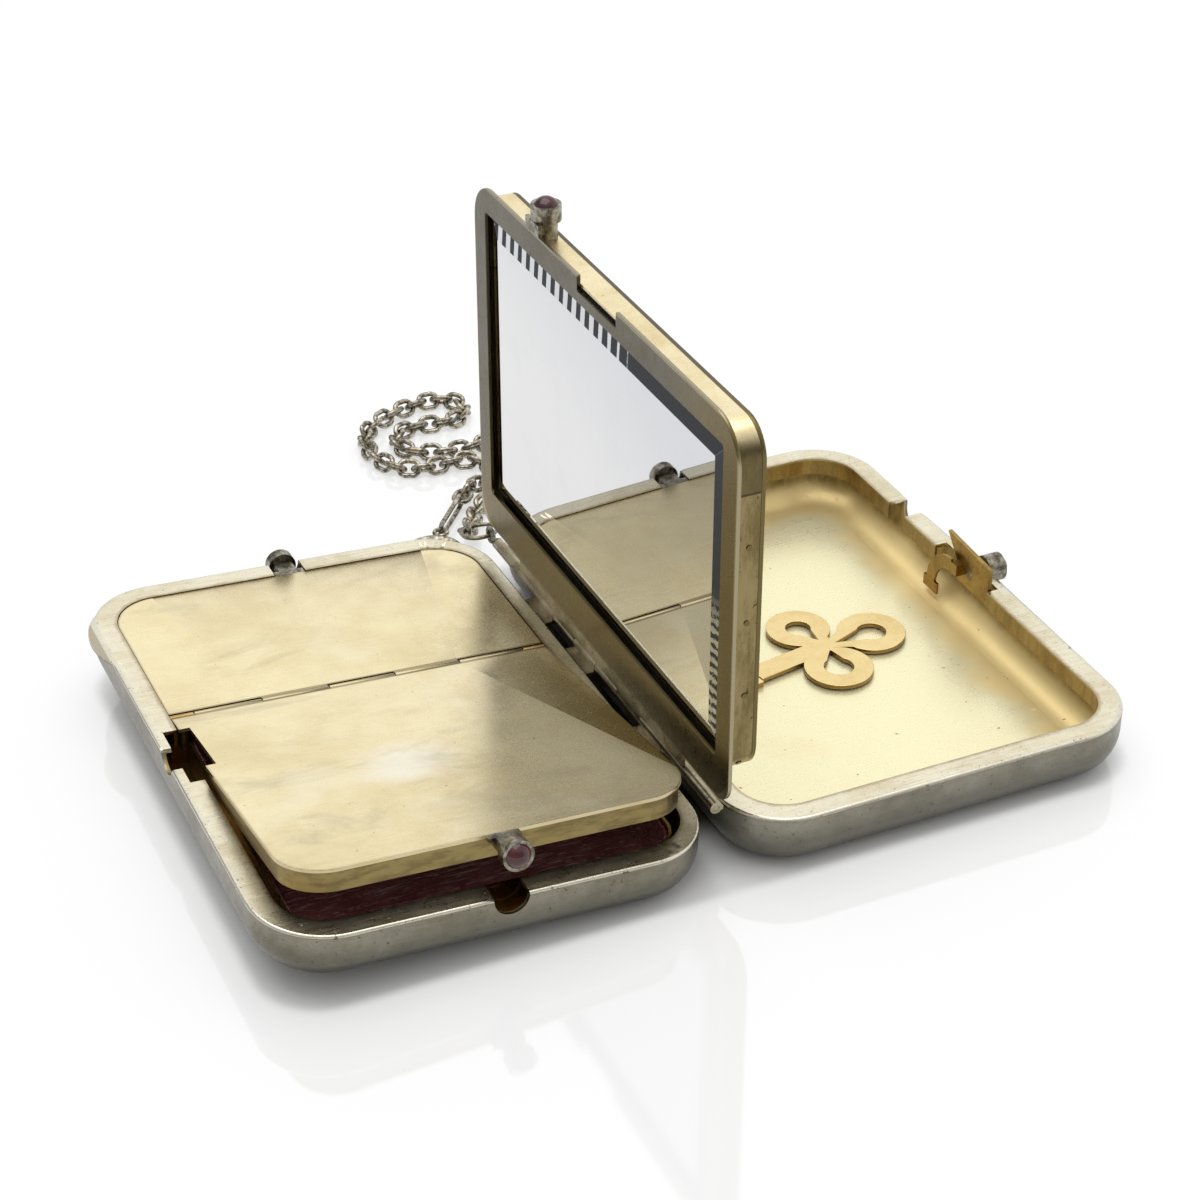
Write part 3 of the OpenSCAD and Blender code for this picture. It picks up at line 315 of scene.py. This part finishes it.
def lid_wear(front):
    """Dull line along the lid's turned-down edge, grey smears, pale patches of painted sheen, a browned
    skirt with painted shade in the crease under the plate's overhang and along the hinge seam, and on
    the front lid a rubbed patch painted near white as a highlight."""
    def change(f, at, color, rough, height):
        x, y, z = f.parts(at)
        edge = outline_distance((x, y), -75.95, -5.75, 4.45, 106.55, 8.5)
        side = f.rise(z, -1.70, -1.85)
        seam = f.rise(abs(y - LID_LINE[0]), 1.3, 1.0)
        smear = f.noise(f.moved(at, turn=(0, 0, 0.5), scale=(0.4, 1, 1)), 13, 5, 0.68, 0.6)
        color = f.mix(f.rise(smear, 0.50, 0.72) * 0.50, color, (0.46, 0.41, 0.28))
        # Painted sheen: pale patches as if the lid caught the light.
        glow = f.noise(f.moved(at, shift=(2, 9, 5)), 24, 3, 0.5, 0.3)
        color = f.mix(f.rise(glow, 0.54, 0.70) * 0.45, color, (0.93, 0.86, 0.62))
        line = f.rise(edge, -0.45, -0.12)
        color = f.mix(line * 0.5, color, (0.50, 0.40, 0.24))
        fleck = f.rise(f.noise(f.moved(at, shift=(8, 2, 2)), 1.1, 2, 0.6), 0.75, 0.77)
        color = f.mix(fleck * 0.7, color, (0.14, 0.10, 0.05))
        # Painted highlight: a near-white patch over a rubbed place on the front lid.
        if front:
            spot = (x + 45.0) ** 2 / 60 + (y - 34.0) ** 2 / 36 + (smear - 0.5) * 3.0
            patch = f.rise(spot.at_least(0).root(), 1.6, 0.3)
            color = f.mix(patch * 0.60, color, (0.98, 0.96, 0.88))
            rough = rough + patch * 0.05
        brown = f.mix(f.rise(f.noise(f.moved(at, scale=(1, 1, 4)), 6, 4, 0.7), 0.4, 0.65),
                      (0.27, 0.20, 0.07), (0.15, 0.105, 0.035))
        # Painted shade: dark brown in the crease under the plate's overhang and in the seam along the
        # hinge line.
        under = f.rise(abs(z + 1.95), 0.22, 0.10)
        color = f.mix(side * 0.92, color, brown)
        color = f.mix(under.at_least(seam) * 0.6, color, (0.13, 0.085, 0.03))
        return color, rough + (smear - 0.5) * 0.10 + side * 0.1, height - fleck * 0.8
    return change


def tray_wear(f, at, color, rough, height):
    """A tray between the lids and the shell: gilded on its long sides, painted dark brown as shade
    where the light never reaches, which is low down, at its ends and by the latch's slot."""
    x, y, z = f.parts(at)
    worn = f.noise(at, 3, 4, 0.7)
    deep = f.rise(z + (worn - 0.5) * 2, -3.4, -6.5)
    end = f.rise(y, 12, 7).at_least(f.rise(abs(y - 55.5), 15, 9))
    # Painted shade: dark brown low down, at the tray's ends and by the latch's slot, where the light
    # never reaches.
    color = f.mix(deep.at_least(end) * 0.85, color, (0.14, 0.07, 0.03))
    return color, rough + deep * 0.1, height


def frame_wear(f, at, color, rough, height):
    """The mirror's frame: grey where the gilding is gone, browned low down and towards the
    front end, paler round its outer edge, with dents and scrapes."""
    x, y, z = f.parts(at)
    worn = f.noise(f.moved(at, scale=(1, 1, 0.4)), 6, 5, 0.7)
    low = f.rise(z + (worn - 0.5) * 14, 30, 6).at_least(f.rise(y + (worn - 0.5) * 10, 34, 6))
    color = f.mix(low * 0.75, color, (0.19, 0.14, 0.045))
    outer = outline_distance((y, z), 3.3, 107.7, 3.76, 74.4, 6.5)
    rim = f.rise(outer + (worn - 0.5) * 0.5, -0.5, -0.1)
    color = f.mix(rim * 0.6, color, (0.50, 0.45, 0.31))
    knock = f.rise(f.noise(f.moved(at, shift=(5, 5, 5), scale=(1, 1, 0.5)), 1.6, 3, 0.8), 0.70, 0.75)
    color = f.mix(knock * 0.6, color, (0.08, 0.065, 0.04))
    return color, rough + knock * 0.2, height - knock * 1.2


def clip_wear(f, at, color, rough, height):
    """The clip's top is pale gold; its cut edges are brown."""
    z = f.parts(at)[2]
    cut = f.rise(z, -9.22, -9.32)
    return f.mix(cut * 0.85, color, (0.26, 0.15, 0.045)), rough + cut * 0.1, height


def box_wear(f, at, color, rough, height):
    """The mirror's box: bright gilding on top, brown and brushed down its ends, with dark
    seams where the end strip meets the corner and the back plate, and dark knocks."""
    x, y, z = f.parts(at)
    worn = f.noise(f.moved(at, scale=(1, 1, 0.3)), 5, 5, 0.75)
    side = f.rise(z + (worn - 0.5) * 2, 72.0, 69.0)
    brown = f.mix(f.rise(worn, 0.38, 0.66), (0.31, 0.245, 0.115), (0.17, 0.125, 0.05))
    upper = f.rise(z, 61.6, 62.2)
    brown = f.mix(upper * 0.65, brown, (0.085, 0.065, 0.03))
    color = f.mix(side, color, brown)
    seam = f.rise(abs(z - 61.8 + (y - 5) * 0.05), 0.30, 0.12).at_least(
        f.rise(abs(x - 4.21), 0.16, 0.07))
    knock = f.rise(f.noise(f.moved(at, shift=(5, 5, 5), scale=(1, 1, 0.6)), 1.5, 3, 0.8), 0.64, 0.72)
    knock = knock * side
    color = f.mix(seam.at_least(knock) * 0.85, color, (0.05, 0.04, 0.025))
    return color, rough + knock * 0.2, height - (knock + seam) * 1.5


def old_silver(name, pale, dark, gold, size=1.6):
    """Oxidised silver: pale where rubbed, dark in patches, with traces of gilding."""
    f = Finish(name)
    at = hinge_place(f)
    worn = f.noise(at, size, 5, 0.75, 0.3)
    trace = f.noise(f.moved(at, shift=(6, 1, 4)), size * 2.2, 3)
    fine = f.noise(at, 0.22, 3)
    color = f.mix(f.rise(worn, 0.36, 0.62), pale, dark)
    color = f.mix(f.rise(trace, 0.5, 0.72) * 0.6, color, gold)
    height = fine * 0.25 + worn * 0.5
    return f.surface(color, 0.22 + worn * 0.26, 1.0, height, 0.03)


def cabochon():
    """Dark red stone: clouds of deep red and nearly black red, with tiny brighter red inclusions."""
    f = Finish("red cabochon")
    at = hinge_place(f)
    cloud = f.noise(at, 1.2, 4, 0.6, 0.5)
    fleck = f.rise(f.noise(at, 0.25, 2), 0.64, 0.74)
    color = f.mix(f.rise(cloud, 0.35, 0.7), (0.085, 0.002, 0.007), (0.018, 0.001, 0.003))
    color = f.mix(fleck * 0.18, color, (0.25, 0.02, 0.03))
    return f.surface(color, 0.10, 0.0, None, 0, 0.0, IOR=1.62)


def leather():
    """Maroon leather: pebbled grain, worn paler streaks and hair-fine pale scratches."""
    f = Finish("maroon leather")
    at = hinge_place(f, BASE_TILT)
    tone = f.noise(at, 9, 5, 0.65)
    grain = f.cells(at, 0.45)
    fibre = f.noise(f.moved(at, turn=(0, 0, 0.9), scale=(0.06, 1, 1)), 0.34, 3, 0.7, 1.2)
    fibre2 = f.noise(f.moved(at, turn=(0, 0, -0.6), scale=(0.06, 1, 1)), 0.38, 3, 0.7, 1.2)
    hairs = f.rise(fibre, 0.57, 0.63).at_least(f.rise(fibre2, 0.58, 0.64))
    # Painted light: both maroons are lighter than the leather's own colour, to make up for the shade in
    # the compartment.
    color = f.mix(f.rise(tone, 0.35, 0.7), (0.30, 0.068, 0.070), (0.44, 0.145, 0.135))
    color = f.mix(hairs * 0.65, color, (0.95, 0.75, 0.68))
    height = (1 - grain) * 0.4 + tone * 0.5 + hairs * 0.3
    return f.surface(color, 0.55 + (tone - 0.5) * 0.2, 0.0, height, 0.08, 0.1)


def looking_glass():
    """Silvered glass, greyer and bluer higher up, which is a painted reflection. Round its edge lie a
    black line, which is painted shadow in the gap by the frame, then a bevel tinted grey-blue as a
    painted reflection: dashes of perished silvering along its top that grow together towards the front
    end, a dark band down the front end that is ragged low down, and a grey band down the back, which is
    a painted reflection."""
    f = Finish("silvered glass")
    at = hinge_place(f)
    x, y, z = f.parts(at)
    y0, y1, z0, z1 = 8.3, 102.7, 11.5, 69.4
    edge = outline_distance((y, z), y0, y1, z0, z1, 0.8)
    bevel = f.rise(edge, -4.05, -3.95)
    wobble = f.noise(f.moved(at, scale=(1, 1, 0.3)), 3, 3)
    ragged = f.noise(at, 1.1, 4, 0.8)
    rim = f.rise(edge, -0.95, -0.75)
    front, back, head, foot = y - y0, y1 - y, z1 - z, z - z0

    def side(near, *others):
        """Within a bevel's width of one edge and nearer to it than to its neighbours."""
        share = f.rise(near, 4.05, 3.95)
        for other in others:
            share = share * f.rise(other - near, -0.1, 0.1)
        return share

    on_top, on_front, on_back = side(head, front, back), side(front, head, foot), side(back, head, foot)
    beat = ((y + (wobble - 0.5) * 0.5 + head * 0.25) * (2 * math.pi / 3.55)).sine()
    closing = f.rise(y, 62, 34)
    dash = f.rise(beat + closing * 1.5 + (ragged - 0.5) * 0.5, -0.10, 0.15) * on_top
    lash = (z * (2 * math.pi / 1.9)).sine() * 0.6 + (ragged - 0.5) * 4.5
    ragged_part = f.rise(lash + f.rise(front, 2.2, 1.0) * 0.6, -0.2, 0.3)
    band = on_front * f.rise(z, 33, 42).at_least(ragged_part)
    haze = f.noise(at, 11, 5, 0.7)
    speck = f.rise(f.noise(at, 0.8, 2, 0.6), 0.765, 0.79)
    # Painted reflection: the glass is painted greyer and bluer towards its top.
    sky = f.rise(z - front * 0.25, 20, 62)
    color = f.mix(sky, (0.80, 0.80, 0.80), (0.70, 0.705, 0.735))
    # Painted reflection: the bevel round the edge is tinted grey-blue.
    color = f.mix(bevel * 0.35, color, (0.55, 0.58, 0.62))
    color = f.mix(f.rise(haze, 0.45, 0.8) * 0.14, color, (0.55, 0.57, 0.58))
    color = f.mix(speck * 0.6, color, (0.25, 0.25, 0.25))
    # Painted reflection: the bevel down the back end is painted grey.
    color = f.mix(on_back * 0.75, color, (0.20, 0.20, 0.25))
    color = f.mix(dash * 0.96, color, (0.012, 0.016, 0.022))
    color = f.mix(band * 0.93, color, (0.022, 0.028, 0.040))
    # Painted shadow: the black line round the edge stands for shade in the gap by the frame.
    color = f.mix(rim * 0.97, color, (0.008, 0.009, 0.010))
    mark = dash.at_least(band).at_least(rim)
    return f.surface(color, 0.012 + haze * 0.012 + mark * 0.45, 1.0, None, 0, 0.0)


def board():
    """Dark backing board behind the glass."""
    f = Finish("backing board")
    fibre = f.noise(hinge_place(f), 0.6, 4, 0.7)
    return f.surface(f.mix(fibre, (0.05, 0.04, 0.03), (0.10, 0.08, 0.06)), 0.8, 0.0, fibre, 0.05)


DARK = (0.14, 0.10, 0.05)
GREY, OLIVE = (0.30, 0.285, 0.23), (0.185, 0.17, 0.125)
RIM_PALE, RIM_DEEP = (0.88, 0.82, 0.64), (0.70, 0.62, 0.42)
LID_PALE, LID_DEEP = (0.93, 0.82, 0.52), (0.80, 0.67, 0.39)
FINISHES = {
    "cover_shell": gilt("cover gilding", GREY, OLIVE, DARK, 0.32, 20, "x", 0.6, 0.5,
                        shell_wear((1.0, 0.94, 0.61), COVER_X, -0.55, -10.3), metal=0.55),
    "base_shell": gilt("base gilding", GREY, OLIVE, DARK, 0.32, 20, "x", 0.6, 0.5,
                       shell_wear((0.86, 0.66, 0.30), BASE_X, -1.7, -10.9), BASE_TILT),
    "cover_rim": gilt("cover rim gilding", RIM_PALE, RIM_DEEP, DARK, 0.30, 16, "x", 0.5, 0.6,
                      rim_wear(COVER_X, COVER_TOP)),
    "base_rim": gilt("base rim gilding", RIM_PALE, RIM_DEEP, DARK, 0.30, 16, "x", 0.5, 0.6,
                     rim_wear(BASE_X, BASE_TOP, 3.1), BASE_TILT),
    "front_lid": gilt("front lid gilding", LID_PALE, LID_DEEP, DARK, 0.27, 30, None, 0.25, 0.6,
                      lid_wear(True), BASE_TILT, FRONT_OPEN, 0.008),
    "rear_lid": gilt("rear lid gilding", LID_PALE, LID_DEEP, DARK, 0.27, 30, None, 0.25, 0.6,
                     lid_wear(False), BASE_TILT, depth=0.008),
    "hinge_gilt": gilt("hinge gilding", (0.50, 0.45, 0.32), (0.26, 0.21, 0.13),
                       (0.05, 0.035, 0.02), 0.32, 4, "x", 0.8, 0.5),
    "tray_gilt": gilt("tray gilding", (0.72, 0.52, 0.22), (0.50, 0.32, 0.11),
                      (0.16, 0.08, 0.03), 0.28, 14, None, 0.4, 0.4, tray_wear, BASE_TILT),
    "frame_gilt": gilt("mirror frame gilding", (0.125, 0.115, 0.085), (0.10, 0.085, 0.05),
                       DARK, 0.30, 12, "z", 0.4, 0.4, frame_wear, depth=0.012),
    "mirror_box": gilt("mirror box gilding", (0.95, 0.83, 0.54), (0.78, 0.64, 0.35),
                       DARK, 0.30, 12, "z", 0.5, 0.5, box_wear),
    "latch_brass": gilt("latch metal", (0.42, 0.28, 0.09), (0.24, 0.15, 0.045),
                        (0.06, 0.04, 0.02), 0.33, 5, None, 0.6, 0.5),
    "clip_gold": gilt("clip gilding", (0.92, 0.73, 0.36), (0.82, 0.61, 0.27),
                      (0.35, 0.18, 0.05), 0.26, 8, None, 0.2, 0.3, clip_wear),
    "old_silver": old_silver("oxidised silver", (0.40, 0.38, 0.31), (0.10, 0.085, 0.06),
                             (0.42, 0.32, 0.14)),
    "chain_silver": old_silver("chain silver", (0.60, 0.56, 0.46), (0.10, 0.085, 0.065),
                               (0.40, 0.32, 0.17), 1.1),
    "red_stone": cabochon(),
    "mirror_glass": looking_glass(),
    "backing_board": board(),
    "maroon_leather": leather(),
}
for part in frame["record"]["subparts"]:
    finish = FINISHES.get(part["node"]) or FINISHES[part["material_slot"]]
    solid = NODES[part["node"]]
    solid.data.materials.clear()
    solid.data.materials.append(finish)


def soft_edge(node, width, chosen=None, segments=2):
    """Rounds a node's edges: doubled points are joined, then every edge sharper than 40
    degrees, or every edge between chosen points, gets a bevel of a few segments."""
    solid = NODES[node]
    weld = solid.modifiers.new("joined", "WELD")
    weld.merge_threshold = 1e-7
    bevel = solid.modifiers.new("soft edge", "BEVEL")
    bevel.width = width * MM
    bevel.segments = segments
    bevel.harden_normals = True
    if chosen is None:
        bevel.limit_method = "ANGLE"
        bevel.angle_limit = math.radians(40)
    else:
        group = solid.vertex_groups.new(name="outer edge")
        group.add(np.flatnonzero(chosen).tolist(), 1.0, "REPLACE")
        bevel.limit_method = "VGROUP"
        bevel.vertex_group = group.name


def hinge_points(node, tilt=0.0):
    """A node's points in hinge or base coordinates, in millimetres."""
    mesh = NODES[node].data
    flat = np.empty(3 * len(mesh.vertices))
    mesh.vertices.foreach_get("co", flat)
    p = flat.reshape(-1, 3) / MM + TO_HINGE
    c, s = math.cos(tilt), math.sin(tilt)
    return np.column_stack([c * p[:, 0] - s * p[:, 2], p[:, 1], s * p[:, 0] + c * p[:, 2]])


def outer_top(node, ends, top, tilt=0.0):
    """Which points of a rim lie on its outline, at no distance from a rectangle with
    rounded corners, and on its top face."""
    close = 0.02
    p = hinge_points(node, tilt)
    across = np.abs(p[:, 0] - sum(ends) / 2) - (ends[1] - ends[0]) / 2 + CORNER_R
    along = np.abs(p[:, 1] - CASE_L / 2) - CASE_L / 2 + CORNER_R
    away = np.hypot(np.maximum(across, 0), np.maximum(along, 0)) - CORNER_R
    away += np.minimum(np.maximum(across, along), 0)
    return (np.abs(away) < close) & (np.abs(p[:, 2] - top) < close)


soft_edge("cover_rim", 0.62, outer_top("cover_rim", COVER_X, COVER_TOP), 4)
soft_edge("base_rim", 0.62, outer_top("base_rim", BASE_X, BASE_TOP, BASE_TILT), 4)
for node, width in {"front_lid": 0.12, "rear_lid": 0.12, "mirror_frame": 0.12,
                    "mirror_back_plate": 0.15, "latch_plate": 0.08, "trefoil_clip": 0.10}.items():
    soft_edge(node, width)


# Pieces
def base_to_part(points):
    """Base coordinates in millimetres to the part's frame in metres: the base leans about
    the main hinge."""
    p = np.array(points, float).reshape(-1, 3)
    c, s = math.cos(BASE_TILT), math.sin(BASE_TILT)
    p = np.column_stack([c * p[:, 0] + s * p[:, 2], p[:, 1], -s * p[:, 0] + c * p[:, 2]])
    return (p - TO_HINGE) * MM


def ring_piece(name, points, cap, material, body):
    """Mesh from closed rings of points (ring, point, 3), each joined to the next by quads,
    and the last to the one point of cap by triangles."""
    rows, columns = points.shape[:2]
    index = np.arange(rows * columns).reshape(rows, columns)
    ahead = np.roll(index, -1, 1)
    faces = np.stack([index[:-1], ahead[:-1], ahead[1:], index[1:]], -1).reshape(-1, 4).tolist()
    faces += np.stack([index[-1], ahead[-1], np.full(columns, rows * columns)], -1).tolist()
    mesh = bpy.data.meshes.new(name)
    mesh.from_pydata(np.vstack([points.reshape(-1, 3), cap]).tolist(), [], faces)
    mesh.polygons.foreach_set("use_smooth", [True] * len(mesh.polygons))
    mesh.materials.append(material)
    mesh.update()
    piece = bpy.data.objects.new(name, mesh)
    bpy.context.collection.objects.link(piece)
    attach(piece, body)
    return piece


def rounded_ring(x0, x1, y0, y1, r, count=160):
    """Points round a rectangle with corner radius r, evenly spaced along its outline and
    anticlockwise: straight runs and quarter circles by length."""
    corners = [(x1 - r, y1 - r, 0), (x0 + r, y1 - r, 90),
               (x0 + r, y0 + r, 180), (x1 - r, y0 + r, 270)]
    turns = np.linspace(0, 90, 13)
    path = np.vstack([np.column_stack([cx + r * np.cos(np.radians(a + turns)),
                                       cy + r * np.sin(np.radians(a + turns))])
                      for cx, cy, a in corners])
    closed = np.vstack([path, path[:1]])
    run = np.concatenate([[0], np.cumsum(np.linalg.norm(np.diff(closed, axis=0), axis=1))])
    at = np.linspace(0, run[-1], count, endpoint=False)
    return np.column_stack([np.interp(at, run, closed[:, k]) for k in (0, 1)])


def leather_lining():
    """Lining of the front compartment: rings of a rounded rectangle that go over the soft
    edge of its upright part, down the inside, round a fillet and in over the floor to its
    middle. The floor swells and sinks by a tenth of a millimetre, by the product of two
    sines, as glued leather does."""
    x0, x1, y0, y1, low, top = -73.86, -7.84, 6.54, 66.36, -10.37, -3.71
    thick, fillet, corner_r, least_r = 0.6, 2.4, 5.5, 0.6
    rows = []
    for a in np.radians(np.linspace(0, 180, 9)):
        rows.append((thick / 2 * (1 - math.cos(a)), top - thick / 2 * (1 - math.sin(a))))
    for a in np.radians(np.linspace(0, 90, 7)[1:]):
        rows.append((thick + fillet * (1 - math.cos(a)), low + thick + fillet * (1 - math.sin(a))))
    rows += [(thick + fillet + step, low + thick) for step in (2, 5, 9, 14, 20, 26)]
    rings = []
    for inset, height in rows:
        ring = rounded_ring(x0 + inset, x1 - inset, y0 + inset, y1 - inset,
                            max(corner_r - inset, least_r))
        x, y = ring.T
        swell = 0.10 * np.sin(x * 0.55 + y * 0.21) * np.sin(y * 0.47) if inset > thick + fillet else 0
        rings.append(np.column_stack([x, y, np.full(len(x), height) + swell]))
    points = base_to_part(rings).reshape(len(rings), -1, 3)
    middle = base_to_part([(x0 + x1) / 2, (y0 + y1) / 2, low + thick + 0.05])
    piece = ring_piece("leather_lining", points, middle, FINISHES["maroon_leather"], "base")
    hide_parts("front_lining")


leather_lining()


# Table, room, lamp and camera
def studio_floor():
    """Wide white table. Under half of it is lit and takes the case's shadow, the rest is
    white in itself to the camera, in reflections and through glass, but not below the case,
    and a tenth is a soft mirror. Below the main hinge it is a dark brown diffuse: a painted shadow."""
    f = Finish("white table")
    lit = f.node("ShaderNodeBsdfDiffuse", None, {"Color": (0.95, 0.95, 0.95, 1)})
    white = f.node("ShaderNodeEmission", None, {"Color": (1, 1, 1, 1), "Strength": 1.0})
    gloss = f.node("ShaderNodeBsdfGlossy", None, {"Color": (1, 1, 1, 1), "Roughness": 0.06})
    ray = f.tree.nodes.new("ShaderNodeLightPath")
    seen = Value(f, ray.outputs["Is Camera Ray"])
    for way in ("Is Glossy Ray", "Is Transmission Ray"):
        seen = seen.at_least(Value(f, ray.outputs[way]))
    x, y, _ = f.parts(f.place())
    clear = f.rise(outline_distance((x, y), -123, 42, -57, 57, 13), -3.0, 0.0)
    plain = f.node("ShaderNodeMixShader", None, {0: seen * clear * 0.6, 1: lit, 2: white})
    # Painted shadow: below the main hinge the table turns to a dark brown diffuse.
    dark = f.node("ShaderNodeBsdfDiffuse", None, {"Color": (0.10, 0.085, 0.06, 1)})
    hinge_shadow = f.rise(abs(x + TO_HINGE[0]), 8.0, 5.0) * f.rise(abs(y), 42.0, 34.0)
    plain = f.node("ShaderNodeMixShader", None, {0: hinge_shadow, 1: plain, 2: dark})
    table = f.node("ShaderNodeMixShader", None, {0: 0.1, 1: plain, 2: gloss})
    f.tree.links.new(table.socket, f.output.inputs["Surface"])
    mesh = bpy.data.meshes.new("table")
    half = 6.0
    mesh.from_pydata([(-half, -half, 0), (half, -half, 0), (half, half, 0), (-half, half, 0)],
                     [], [(0, 1, 2, 3)])
    mesh.materials.append(f.material)
    floor = bpy.data.objects.new("table", mesh)
    bpy.context.collection.objects.link(floor)


def studio_world():
    """Pale room: brightest behind and to the right of the case, dimmer to the left and in
    front, and pale overhead. A direction's share of each is a smooth step of its parts."""
    f = Finish("room")
    world = bpy.data.worlds.new("studio")
    bpy.context.scene.world = world
    world.use_nodes = True
    f.tree = world.node_tree
    f.tree.nodes.clear()
    out = f.tree.nodes.new("ShaderNodeOutputWorld")
    x, y, z = f.parts(f.node("ShaderNodeTexCoord", output="Generated"))
    sweep = f.rise(x * 0.9 + y * 0.45, 0.05, 0.52)
    above = f.rise(z, 0.45, 0.95)
    level = 0.45 + sweep * 0.62 + above * 0.45 * (1 - sweep)
    color = f.mix(level, (0, 0, 0), (1, 1, 1))
    sky = f.node("ShaderNodeBackground", None, {"Color": color, "Strength": 1.0})
    f.tree.links.new(sky.socket, out.inputs["Surface"])
    bpy.data.materials.remove(f.material)


def lamp(name, place, aim, size, power):
    """Soft square lamp at place, pointed at aim."""
    light = bpy.data.lights.new(name, "AREA")
    light.shape = "RECTANGLE"
    light.size, light.size_y = size
    light.energy = power
    obj = bpy.data.objects.new(name, light)
    obj.location = place
    obj.rotation_euler = (Vector(aim) - Vector(place)).to_track_quat("-Z", "Y").to_euler()
    bpy.context.collection.objects.link(obj)


studio_floor()
studio_world()
lamp("overhead", (-0.10, 0.15, 0.9), (0, 0, 0), (0.9, 0.9), 3.6)

camera = bpy.data.objects.new("camera", bpy.data.cameras.new("camera"))
camera.data.lens = 81.1
camera.data.sensor_width = 36
camera.data.clip_end = 50
camera.location = (-0.20891, -0.36610, 0.28098)
camera.rotation_euler = (math.radians(57.59), 0, math.radians(-24.67))
bpy.context.collection.objects.link(camera)
bpy.context.scene.camera = camera
bpy.context.scene.view_settings.view_transform = "Standard"
